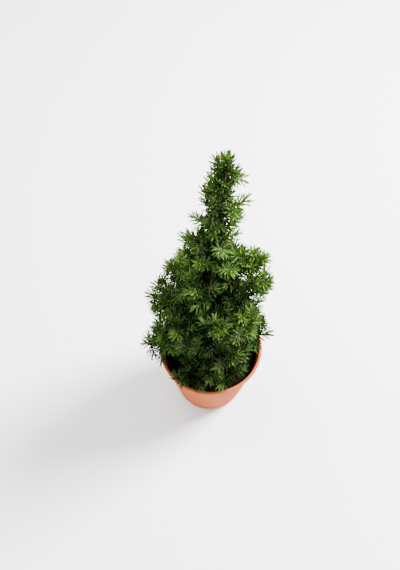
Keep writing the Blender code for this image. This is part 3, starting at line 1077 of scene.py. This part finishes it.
@dataclass
class Foliage:
    """Clothes the shoots with needles and the limbs with twigs."""

    crown: Crown
    per_metre: tuple[float, float] = (2080.0, 1950.0)
    width: tuple[float, float] = (0.00106, 0.00120)
    young_stretch: tuple[float, float] = (0.0040, 0.0055)
    tint_steps: tuple[float, float, float, float] = (0.18, 0.38, 0.66, 0.98)
    seed: int = 5
    dry_tips: tuple[tuple[float, float, float], ...] = (
        (0.100, -24, 0.0400),
        (0.093, -33, 0.0385),
    )
    roots: dict[NeedleTint, list[np.ndarray]] = field(default_factory=dict)

    def deal(self, rows: np.ndarray, needle_youth_and_painted_light: np.ndarray, olive_and_painted_shade: float, dice: np.random.Generator) -> None:
        """Deals a spray's needles out among the tints.

        Args:
            rows: The needles, one row each.
            needle_youth_and_painted_light: How young and how well lit each needle is, from 0 to 1.
            olive_and_painted_shade: The share of needles that have gone olive.
            dice: The seeded source of chance.
        """
        level = needle_youth_and_painted_light + dice.uniform(-0.21, 0.21, len(rows))
        ladder = (NeedleTint.SHADE, NeedleTint.DEEP, NeedleTint.LEAF, NeedleTint.FRESH, NeedleTint.LIGHT)
        # Painted light and shade: the level picks a green from the ladder, from SHADE for the darkest to LIGHT for
        # the lightest.
        place = np.digitize(level, self.tint_steps)
        olive = (dice.uniform(0.0, 1.0, len(rows)) < olive_and_painted_shade) & (place < 4)
        for k, tint in enumerate(ladder):
            chosen = rows[(place == k) & ~olive]
            if len(chosen):
                self.roots.setdefault(tint, []).append(chosen)
        if olive.any():
            self.roots.setdefault(NeedleTint.OLIVE, []).append(rows[olive])

    def clothe(
        self,
        first: Vector,
        last: Vector,
        shoot_youth_and_painted_light: float,
        dice: np.random.Generator,
        tuft: bool,
        thin: float = 1.0,
        close_over: float = 0.0070,
    ) -> None:
        """Stands needles all round a straight stretch of twig.

        Args:
            first: Where the stretch begins.
            last: Where it ends.
            shoot_youth_and_painted_light: How young and how well lit it is, from 0 to 1.
            dice: The seeded source of chance.
            tuft: Whether it ends in a tuft that closes over its tip.
            thin: The share of the usual needles that it carries.
            close_over: How far from its tip a tuft begins to close.
        """
        length = (last - first).length
        middle = (first + last) / 2
        high = clamped((middle.z - 0.10) / 0.22)
        count = max(int(length * between(*self.per_metre, high) * thin), 4)
        along = np.array((last - first).normalized())
        side = np.array((last - first).orthogonal().normalized())
        up = np.cross(along, side)
        share = (np.arange(count) + dice.uniform(0, 1, count)) / count
        left = (1.0 - share) * length
        turn = np.arange(count) * GOLDEN_TURN + dice.uniform(-0.3, 0.3, count)
        out = side * np.cos(turn)[:, None] + up * np.sin(turn)[:, None]
        lean = np.radians(between(69.0, 53.0, share) + dice.normal(0, 4.5, count))
        if tuft:
            close = np.clip(1.0 - left / close_over, 0, 1) ** 1.5
            lean = lean * (1 - close) + np.radians(dice.uniform(6.0, 40.0, count)) * close
        way = along * np.cos(lean)[:, None] + out * np.sin(lean)[:, None]
        way += np.array((0.0, 0.0, 0.10))
        way /= np.linalg.norm(way, axis=1)[:, None]
        usual = self.crown.needle_length(middle.z) * between(0.86, 1.04, clamped((middle.z - 0.1) / 0.25))
        size = usual * dice.uniform(0.88, 1.06, count) * between(0.92, 1.0, np.minimum(share * 3, 1))
        if tuft:
            size *= 1.0 - 0.42 * np.clip(1.0 - left / 0.0035, 0, 1)
        base = np.array(first) + along * (share * length)[:, None] + out * 0.0003
        keep = self.is_clear(base + way * size[:, None]) & self.is_clear(base + way * size[:, None] * 0.5)
        flat = np.cross(way, along)
        flat /= np.maximum(np.linalg.norm(flat, axis=1)[:, None], 1e-9)
        bend = along * dice.uniform(0.12, 0.30, count)[:, None]
        rows = np.hstack([base, way, flat, bend, size[:, None]])[keep]
        # Painted shade: needles lower in the crown are made darker, by less towards the top.
        needle_youth_and_painted_light = shoot_youth_and_painted_light + between(-0.33, -0.05, high)
        if tuft:
            needle_youth_and_painted_light = needle_youth_and_painted_light + between(0.74, 0.50, high) * np.exp(-left / between(*self.young_stretch, high))
        olive_and_painted_shade = 0.45 if dice.uniform() < 0.12 else between(0.03, 0.14, high)
        self.deal(rows, np.broadcast_to(needle_youth_and_painted_light, count)[keep], olive_and_painted_shade, dice)

    def is_clear(self, points: np.ndarray) -> np.ndarray:
        """Tells which needle points miss the pot's wall, the compost and the gaps that show sky.

        Args:
            points: The points, one row each.

        Returns:
            True for each point that is clear.
        """
        pot = self.crown.pot
        radial = np.hypot(points[:, 0], points[:, 1])
        height = points[:, 2]
        inner = pot.inner_radius(0.0) + (pot.inner_radius(pot.height) - pot.inner_radius(0.0)) * (
            height / pot.height
        )
        in_wall = (height < pot.height + 0.0004) & (radial > inner - 0.0004) & (radial < pot.rim_radius + 0.0004)
        in_soil = (height < pot.soil_top + 0.0012) & (radial <= inner)
        in_gap = np.zeros(len(points), bool)
        for gap in self.crown.trunk_gaps:
            in_gap |= gap.holds(points)
        return ~(in_wall | in_soil | in_gap)

    def shoot_youth_and_painted_light(self, shoot: Shoot, dice: np.random.Generator) -> float:
        """Gives a shoot's level on the ladder of greens: its youth, with painted light and painted shade from
        where it sits in the crown.

        Args:
            shoot: The shoot.
            dice: The seeded source of chance.

        Returns:
            A value from 0 to 1.
        """
        out = clamped(self.crown.outness(shoot.tip), 0.0, 1.1)
        high = clamped((shoot.tip.z - 0.09) / 0.28)
        aside = shoot.tip.x / math.hypot(shoot.tip.x, shoot.tip.y, 0.004)
        # Painted light: shoots towards the crown's sides are lighter, more on the right and more low down; those
        # facing front and back are darker.
        painted_side_light = (0.17 + 0.12 * (1.0 - high)) * abs(aside) + 0.10 * aside - 0.12
        # Painted shade: the lowest shoots on the crown's right are darkened.
        olive_and_painted_shade = 0.52 * clamped(shoot.tip.x / 0.04) * clamped((0.180 - shoot.tip.z) / 0.04) * clamped((0.062 - shoot.tip.x) / 0.012)
        # Painted shade: shoots facing front and back across the crown's middle are darkened.
        olive_and_painted_shade += 0.16 * clamped(1.2 - abs(shoot.tip.z - 0.215) / 0.05) * (1.0 - abs(aside))
        # Painted light: outer and upper shoots are lighter; the outer ones are also the youngest.
        return clamped(0.85 * out - 0.15 + 0.22 * high + painted_side_light - olive_and_painted_shade + dice.uniform(-0.20, 0.20))

    def dress(self) -> list[bpy.types.Object]:
        """Builds the needles and the twigs.

        Returns:
            The pieces, riding on the frame.
        """
        dice = np.random.default_rng(self.seed)
        for mass in self.crown.masses:
            for shoot in mass.shoots:
                if (shoot.tip - shoot.root).length > 0.05:
                    top = share_point(shoot, 0.965)
                    self.clothe(share_point(shoot, 0.05), top, 0.55, dice, True, 0.75, 0.0035)
                    self.clothe(share_point(shoot, 0.83), top, 0.72, dice, True, 1.7, 0.0026)
                    continue
                self.clothe(share_point(shoot, 0.12), shoot.tip, self.shoot_youth_and_painted_light(shoot, dice), dice, True)
            cuts = 5
            for i in range(cuts):
                low = between(mass.bough_share * 0.75, 0.8, i / cuts)
                high = between(mass.bough_share * 0.75, 0.8, (i + 1) / cuts)
                # Painted shade: the needles along the masses' inner stems get a low level and come out dark.
                self.clothe(mass.path(low), mass.path(high), 0.25, dice, False, 0.40)
        for shoot in self.crown.fine_shoots:
            self.clothe(share_point(shoot, 0.08), shoot.tip, self.shoot_youth_and_painted_light(shoot, dice), dice, True)
        trunk = self.crown.trunk
        heights = np.linspace(0.270, trunk.plant_top - 0.030, 12)
        for low, high in zip(heights, heights[1:]):
            # Painted shade: the needles along the trunk's upper part, inside the crown, get a low level and come
            # out dark.
            self.clothe(trunk.axis(low), trunk.axis(high), 0.35, dice, False, 0.35)
        pieces = [self.needles(tint) for tint in NeedleTint if tint in self.roots]
        pieces.append(self.twigs())
        pieces.append(self.dry_twigs())
        for piece in pieces:
            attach(piece, "root")
            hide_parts(*FOLIAGE_NODES)
        return pieces

    def needles(self, tint: NeedleTint) -> bpy.types.Object:
        """Joins all the needles of one tint.

        Args:
            tint: The tint.

        Returns:
            The piece.
        """
        corners, faces = NeedleForm().build()
        rows = np.vstack(self.roots[tint])
        base, way, flat, bend, size = rows[:, :3], rows[:, 3:6], rows[:, 6:9], rows[:, 9:12], rows[:, 12]
        across = np.cross(way, flat)
        x, y, z = corners[:, 0], corners[:, 1], corners[:, 2]
        length = size[:, None, None]
        width = between(*self.width, np.clip(base[:, 2] / 0.36, 0, 1))[:, None, None]
        points = (
            base[:, None]
            + way[:, None] * z[None, :, None] * length
            + bend[:, None] * (z**2)[None, :, None] * length
            + flat[:, None] * x[None, :, None] * width
            + across[:, None] * y[None, :, None] * width
        )
        offsets = (np.arange(len(rows)) * len(corners))[:, None, None]
        pile = MeshPile()
        pile.add(points.reshape(-1, 3), (faces[None] + offsets).reshape(-1, 3))
        log.info("%s: %d needles, %d faces", tint.value.name, len(rows), len(rows) * len(faces))
        return pile.build(tint.value.name.replace("needle_", "needles_"), tint.value.material(), smooth=False)

    def twigs(self) -> bpy.types.Object:
        """Joins the masses' stems and all the shoots' twigs.

        Returns:
            The piece.
        """
        crown = self.crown
        pile = MeshPile()
        for mass in crown.masses:
            leader = mass.bough_share == 0.0 and mass.name.endswith("leader")
            steps = 16 if leader else 8
            shares = [between(mass.bough_share, 0.97, i / steps) for i in range(steps + 1)]
            first = crown.trunk.radius(crown.trunk.top) if leader else crown.stem_radius
            radii = [between(first, 0.0006, i / steps) for i in range(steps + 1)]
            pile.add(*tube([mass.path(share) for share in shares], radii, 8))
            for shoot in mass.shoots[1:]:
                points = [share_point(shoot, q) for q in (0.0, 0.35, 0.7, 0.97)]
                pile.add(*tube(points, [0.00085, 0.0007, 0.0006, 0.0004], 6))
        for shoot in crown.fine_shoots:
            points = [share_point(shoot, q) for q in (0.0, 0.5, 0.97)]
            pile.add(*tube(points, [0.0006, 0.0005, 0.0003], 5))
        return pile.build("twigs", TWIG.material())

    def dry_twigs(self) -> bpy.types.Object:
        """Joins the few bare dead twigs that lean out over the compost at the crown's foot.

        Returns:
            The piece.
        """
        crown, pile = self.crown, MeshPile()
        for height, bearing, reach in self.dry_tips:
            turn = math.radians(bearing)
            tip = crown.trunk.axis(height) + Vector((math.cos(turn), math.sin(turn), 0.0)) * reach
            foot = crown.trunk.axis(height - 0.006) + (tip - crown.trunk.axis(height)) * 0.55
            middle = foot.lerp(tip, 0.55) + Vector((0.0, 0.0, 0.0016))
            pile.add(*tube([foot, middle, tip], [0.0007, 0.0006, 0.0003], 6))
            side = (tip - foot).cross(Vector((0.0, 0.0, 1.0))).normalized() * 0.0042
            spur = middle + side + (tip - foot) * 0.22
            pile.add(*tube([middle, middle.lerp(spur, 0.5), spur], [0.0005, 0.0004, 0.0002], 5))
        return pile.build("dry_twigs", DRY_TWIG.material())


def tube(centres: list[Vector], radii: list[float], sides: int) -> tuple[np.ndarray, np.ndarray]:
    """Makes a closed tapering tube.

    Args:
        centres: The middles of its rings.
        radii: The rings' radii.
        sides: How many sides it has.

    Returns:
        Its corners and its three-sided faces.
    """
    across = Vector((0.31, 0.92, 0.23)).normalized()
    corners = []
    for i, (centre, radius) in enumerate(zip(centres, radii)):
        ahead = (centres[min(i + 1, len(centres) - 1)] - centres[max(i - 1, 0)]).normalized()
        across = ahead.cross(across).cross(ahead).normalized()
        up = ahead.cross(across)
        for k in range(sides):
            turn = math.tau * k / sides
            corners.append(tuple(centre + (across * math.cos(turn) + up * math.sin(turn)) * radius))
    faces = []
    for i in range(len(centres) - 1):
        for k in range(sides):
            a, b = i * sides + k, i * sides + (k + 1) % sides
            faces += [(a, b, b + sides), (a, b + sides, a + sides)]
    last = (len(centres) - 1) * sides
    for k in range(1, sides - 1):
        faces += [(0, k + 1, k), (last, last + k, last + k + 1)]
    return np.array(corners), np.array(faces)


@dataclass
class WoodyLimb:
    """A limb with bark relief, drawn out ring by ring and then roughened."""

    name: str
    course: Path
    radius: Callable[[float], float]
    rings: int
    sides: int
    relief: float

    def build(self) -> bpy.types.Object:
        """Models the limb.

        Returns:
            The limb as a closed mesh at the origin.
        """
        first = self.course(0.0)
        bpy.ops.object.select_all(action="DESELECT")
        bpy.ops.mesh.primitive_circle_add(vertices=self.sides, radius=self.radius(0.0), fill_type="NGON")
        obj = bpy.context.object
        obj.name = self.name
        ahead = (self.course(1.0 / self.rings) - first).normalized()
        turned = ahead.to_track_quat("Z", "Y").to_matrix().to_4x4()
        obj.data.transform(Matrix.Translation(first) @ turned)
        bpy.ops.object.mode_set(mode="EDIT")
        bpy.ops.mesh.select_all(action="SELECT")
        for i in range(1, self.rings + 1):
            here, there = self.course((i - 1) / self.rings), self.course(i / self.rings)
            size = self.radius(i / self.rings) / self.radius((i - 1) / self.rings)
            bpy.ops.mesh.extrude_region_move(TRANSFORM_OT_translate={"value": there - here})
            bpy.ops.transform.resize(value=(size, size, size), center_override=there)
        bpy.ops.mesh.select_all(action="SELECT")
        bpy.ops.mesh.normals_make_consistent(inside=False)
        bpy.ops.object.mode_set(mode="OBJECT")
        for scale, depth in ((0.0035, self.relief), (0.0011, self.relief * 0.5)):
            texture = bpy.data.textures.new(f"{self.name}_relief", "CLOUDS")
            texture.noise_scale = scale
            texture.noise_depth = 2
            rough = obj.modifiers.new("relief", "DISPLACE")
            rough.texture = texture
            rough.texture_coords = "LOCAL"
            rough.mid_level = 0.55
            rough.strength = depth
        apply_modifiers(obj)
        bpy.ops.object.shade_smooth()
        return obj


@dataclass
class Woodwork:
    """The trunk and the boughs, with their bark."""

    crown: Crown

    def dress(self) -> list[bpy.types.Object]:
        """Builds the trunk's and the boughs' bark.

        Returns:
            The pieces, riding on the frame.
        """
        bark = BARK.material()
        pieces = [self.trunk(), self.boughs()]
        for piece in pieces:
            piece.data.materials.clear()
            piece.data.materials.append(bark)
            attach(piece, "root")
        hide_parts("trunk")
        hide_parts(*BOUGH_NODES)
        return pieces

    def trunk(self) -> bpy.types.Object:
        """Builds the trunk from the flat cut on the compost to its tip.

        Returns:
            The piece.
        """
        shape = self.crown.trunk

        def height(share: float) -> float:
            return between(shape.foot - 0.0002, shape.top, share**1.2)

        return WoodyLimb(
            "trunk_bark",
            lambda share: shape.axis(height(share)),
            lambda share: shape.radius(height(share)),
            rings=70,
            sides=24,
            relief=0.0009,
        ).build()

    def boughs(self) -> bpy.types.Object:
        """Builds the boughs and joins them.

        Returns:
            The piece.
        """
        made = []
        for mass in self.crown.masses:
            if mass.bough_share:
                end = mass.bough_share
                limb = WoodyLimb(
                    "bough_bark",
                    lambda share, mass=mass, end=end: mass.path(share * end),
                    lambda share: self.crown.stem_radius * between(1.2, 1.0, share),
                    rings=14,
                    sides=12,
                    relief=0.0004,
                )
                made.append(limb.build())
        bpy.ops.object.select_all(action="DESELECT")
        for obj in made:
            obj.select_set(True)
        bpy.context.view_layer.objects.active = made[0]
        bpy.ops.object.join()
        made[0].name = "bough_bark"
        return made[0]


@dataclass
class NurseryPot:
    """The thin-walled plastic pot."""

    shape: PotShape
    sides: int = 128

    def profile(self) -> list[tuple[float, float]]:
        """Works out the wall's section, from the underside's middle up outside and down inside.

        Returns:
            Radius and height of each corner.
        """
        s = self.shape
        lip_foot = s.height - s.lip_height
        inner_top, inner_foot = s.inner_radius(s.height), s.inner_radius(s.floor)
        points = [(0.0, 0.0), (s.foot_radius - 0.0015, 0.0)]
        points += [
            (s.foot_radius - 0.0015 + 0.0015 * math.sin(t), 0.0015 - 0.0015 * math.cos(t))
            for t in np.linspace(0.3, math.pi / 2, 4)
        ]
        points += [(s.outer_radius(h), h) for h in np.linspace(0.008, lip_foot - 0.001, 8)]
        points += [(s.rim_radius - 0.0003, lip_foot), (s.rim_radius, lip_foot + 0.0008)]
        middle, half = (s.rim_radius + inner_top) / 2, (s.rim_radius - inner_top) / 2
        points += [
            (middle + half * math.cos(t), s.height - 0.0009 + 0.0009 * math.sin(t))
            for t in np.linspace(0.0, math.pi, 9)
        ]
        points += [(s.inner_radius(h), h) for h in np.linspace(s.height - 0.004, s.floor + 0.002, 8)]
        points += [(inner_foot - 0.0015, s.floor), (0.0, s.floor)]
        return points

    def dress(self) -> bpy.types.Object:
        """Turns the pot and bores its drain holes.

        Returns:
            The piece, riding on the frame.
        """
        obj = turned("pot_shell", self.profile(), self.sides)
        for k in range(self.shape.drain_holes):
            turn = math.tau * (k + 0.5) / self.shape.drain_holes
            reach = self.shape.drain_circle
            bpy.ops.object.select_all(action="DESELECT")
            bpy.ops.mesh.primitive_cylinder_add(
                vertices=32,
                radius=self.shape.drain_radius,
                depth=self.shape.floor * 3,
                location=(math.cos(turn) * reach, math.sin(turn) * reach, self.shape.floor / 2),
            )
            drill = bpy.context.object
            bore = obj.modifiers.new("drain", "BOOLEAN")
            bore.operation = "DIFFERENCE"
            bore.object = drill
            apply_modifiers(obj)
            bpy.data.objects.remove(drill, do_unlink=True)
        only(obj)
        bpy.ops.object.shade_smooth_by_angle(angle=math.radians(35.0))
        obj.data.materials.clear()
        obj.data.materials.append(POT_PLASTIC.material())
        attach(obj, "root")
        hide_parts("pot")
        return obj


def turned(name: str, profile: list[tuple[float, float]], sides: int) -> bpy.types.Object:
    """Turns a section round Z into a closed mesh.

    Args:
        name: The object's name.
        profile: Radius and height of the section's corners.
        sides: How many steps the turn has.

    Returns:
        The object at the origin.
    """
    bpy.ops.object.select_all(action="DESELECT")
    bpy.ops.mesh.primitive_plane_add(size=0.001)
    obj = bpy.context.object
    obj.name = name
    bpy.ops.object.mode_set(mode="EDIT")
    bpy.ops.mesh.select_all(action="SELECT")
    bpy.ops.mesh.merge(type="CENTER")
    radius, height = profile[0]
    bpy.ops.transform.translate(value=(radius, 0.0, height))
    for (r0, h0), (r1, h1) in zip(profile, profile[1:]):
        bpy.ops.mesh.extrude_region_move(TRANSFORM_OT_translate={"value": (r1 - r0, 0.0, h1 - h0)})
    bpy.ops.mesh.select_all(action="SELECT")
    bpy.ops.mesh.spin(steps=sides, angle=math.tau, center=(0, 0, 0), axis=(0, 0, 1))
    bpy.ops.mesh.select_all(action="SELECT")
    bpy.ops.mesh.remove_doubles(threshold=1e-6)
    bpy.ops.mesh.normals_make_consistent(inside=False)
    bpy.ops.object.mode_set(mode="OBJECT")
    return obj


@dataclass
class CompostBed:
    """The compost, with lumps and crumbs."""

    shape: PotShape
    seed: int = 11
    crumbs: int = 1500

    def dress(self) -> list[bpy.types.Object]:
        """Builds the bed and the crumbs.

        Returns:
            The pieces, riding on the frame.
        """
        pieces = [self.bed(), self.loose_crumbs()]
        for piece in pieces:
            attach(piece, "root")
        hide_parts("soil")
        return pieces

    def lump(self, x: float, y: float) -> float:
        """Gives how far the compost stands over its usual level.

        Args:
            x: The place across.
            y: The place in depth.

        Returns:
            The rise in metres.
        """
        radial = math.hypot(x, y)
        calm = clamped((radial - 0.007) / 0.010)
        broad = 0.0016 * noise.noise(Vector((x, y, 0.3)) * 90.0) - 0.0006
        fine = 0.0007 * noise.noise(Vector((x, y, 0.7)) * 420.0)
        return calm * (broad + fine)

    def bed(self) -> bpy.types.Object:
        """Turns the body of the compost and raises its lumps.

        Returns:
            The piece.
        """
        s = self.shape
        top, foot = s.soil_top - 0.0003, s.floor + 0.0003
        edge, low = s.inner_radius(top) - 0.0003, s.inner_radius(foot) - 0.0018
        profile = [(0.0, foot), (low, foot), (edge, top)]
        profile += [(edge * share, top) for share in np.linspace(0.98, 0.02, 44)]
        profile.append((0.0, top))
        obj = turned("compost", profile, 120)
        for vert in obj.data.vertices:
            if vert.co.z > top - 1e-5 and math.hypot(vert.co.x, vert.co.y) < edge * 0.99:
                vert.co.z += self.lump(vert.co.x, vert.co.y)
        only(obj)
        bpy.ops.object.shade_smooth_by_angle(angle=math.radians(60.0))
        obj.data.materials.clear()
        obj.data.materials.append(COMPOST.material())
        return obj

    def loose_crumbs(self) -> bpy.types.Object:
        """Scatters crumbs over the bed.

        Returns:
            The piece.
        """
        bpy.ops.object.select_all(action="DESELECT")
        bpy.ops.mesh.primitive_ico_sphere_add(subdivisions=1, radius=1.0)
        ball = bpy.context.object
        corners = np.array([tuple(v.co) for v in ball.data.vertices])
        faces = np.array([tuple(p.vertices) for p in ball.data.polygons])
        bpy.data.objects.remove(ball, do_unlink=True)
        dice = np.random.default_rng(self.seed)
        edge = self.shape.inner_radius(self.shape.soil_top) - 0.0022
        pile = MeshPile()
        for _ in range(self.crumbs):
            radial, turn = edge * math.sqrt(dice.uniform(0.02, 1.0)), dice.uniform(0.0, math.tau)
            x, y = radial * math.cos(turn), radial * math.sin(turn)
            size = 0.00035 + 0.0009 * dice.uniform() ** 3
            stretch = dice.uniform(0.6, 1.4, 3) * size
            rough = corners * (1 + dice.uniform(-0.25, 0.25, (len(corners), 1))) * stretch
            z = self.shape.soil_top + self.lump(x, y) + size * 0.2
            pile.add(rough + np.array((x, y, z)), faces)
        return pile.build("compost_crumbs", CRUMB.material(), smooth=False)


@dataclass
class Studio:
    """A plain pale floor, soft light and the camera at the photo's angle."""

    elevation: float = math.radians(59.4)
    distance: float = 0.525
    aim: tuple[float, float, float] = (-0.01103, 0.0, 0.21105)
    lens: float = 38.78

    def dress(self) -> None:
        """Builds the floor, the lights and the camera."""
        self.floor()
        self.lights()
        self.camera()

    def floor(self) -> None:
        """Lays the floor."""
        bpy.ops.object.select_all(action="DESELECT")
        bpy.ops.mesh.primitive_plane_add(size=6.0, location=(0, 0, -0.0002))
        floor = bpy.context.object
        floor.name = "floor"
        floor.data.materials.append(Finish("pale_floor", (0.86, 0.86, 0.87), 0.8, 0.2).material())
        floor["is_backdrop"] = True

    def area(self, name: str, place: tuple[float, float, float], size: float, power: float) -> None:
        """Hangs a square lamp that looks at the plant.

        Args:
            name: The lamp's name.
            place: Where it hangs.
            size: The length of its side.
            power: Its power in watts.
        """
        bpy.ops.object.light_add(type="AREA", location=place)
        lamp = bpy.context.object
        lamp.name = name
        lamp.data.size = size
        lamp.data.energy = power
        way = Vector(place) - Vector((0.0, 0.0, 0.15))
        lamp.rotation_euler = way.to_track_quat("Z", "Y").to_euler()
        lamp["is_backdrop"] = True

    def lights(self) -> None:
        """Sets the sky and hangs the lamps."""
        world = bpy.data.worlds.new("studio")
        world.use_nodes = True
        world.node_tree.nodes["Background"].inputs["Color"].default_value = (1.0, 1.0, 1.0, 1.0)
        world.node_tree.nodes["Background"].inputs["Strength"].default_value = 1.450
        bpy.context.scene.world = world
        self.area("key", (0.90, 0.42, 1.20), 0.5, 140.0)
        self.area("fill", (-0.50, 0.35, 1.45), 1.0, 26.0)

    def camera(self) -> None:
        """Stands the camera where the photo was taken from."""
        aim = Vector(self.aim)
        back = Vector((0.0, -math.cos(self.elevation), math.sin(self.elevation)))
        bpy.ops.object.camera_add(location=aim + back * self.distance)
        camera = bpy.context.object
        camera.rotation_euler = back.to_track_quat("Z", "Y").to_euler()
        camera.data.lens = self.lens
        camera.data.sensor_width = 36.0
        camera.data.clip_start = 0.01
        bpy.context.scene.camera = camera


def main() -> None:
    """Dresses the whole plant, in order, and reports on each part."""
    logging.basicConfig(level=logging.INFO, format="%(name)s: %(message)s")
    low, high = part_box("pot")
    pot = PotShape(rim_radius=(high.x - low.x) / 2, height=high.z)
    trunk = TrunkShape()
    crown = Crown(pot, trunk)
    crown.grow()
    crown.grow_fine_tips()
    crown.grow_finer()
    Woodwork(crown).dress()
    log.info("bark done")
    Foliage(crown).dress()
    log.info("foliage done")
    NurseryPot(pot).dress()
    CompostBed(pot).dress()
    log.info("pot and compost done")
    Studio().dress()
    bounds = {"frame": START_BOUNDS, "dressed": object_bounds()}
    {name: [list(corner) for corner in pair] for name, pair in bounds.items()}
    log.info("bounds %s", bounds["dressed"])


if __name__ == "__main__":
    main()
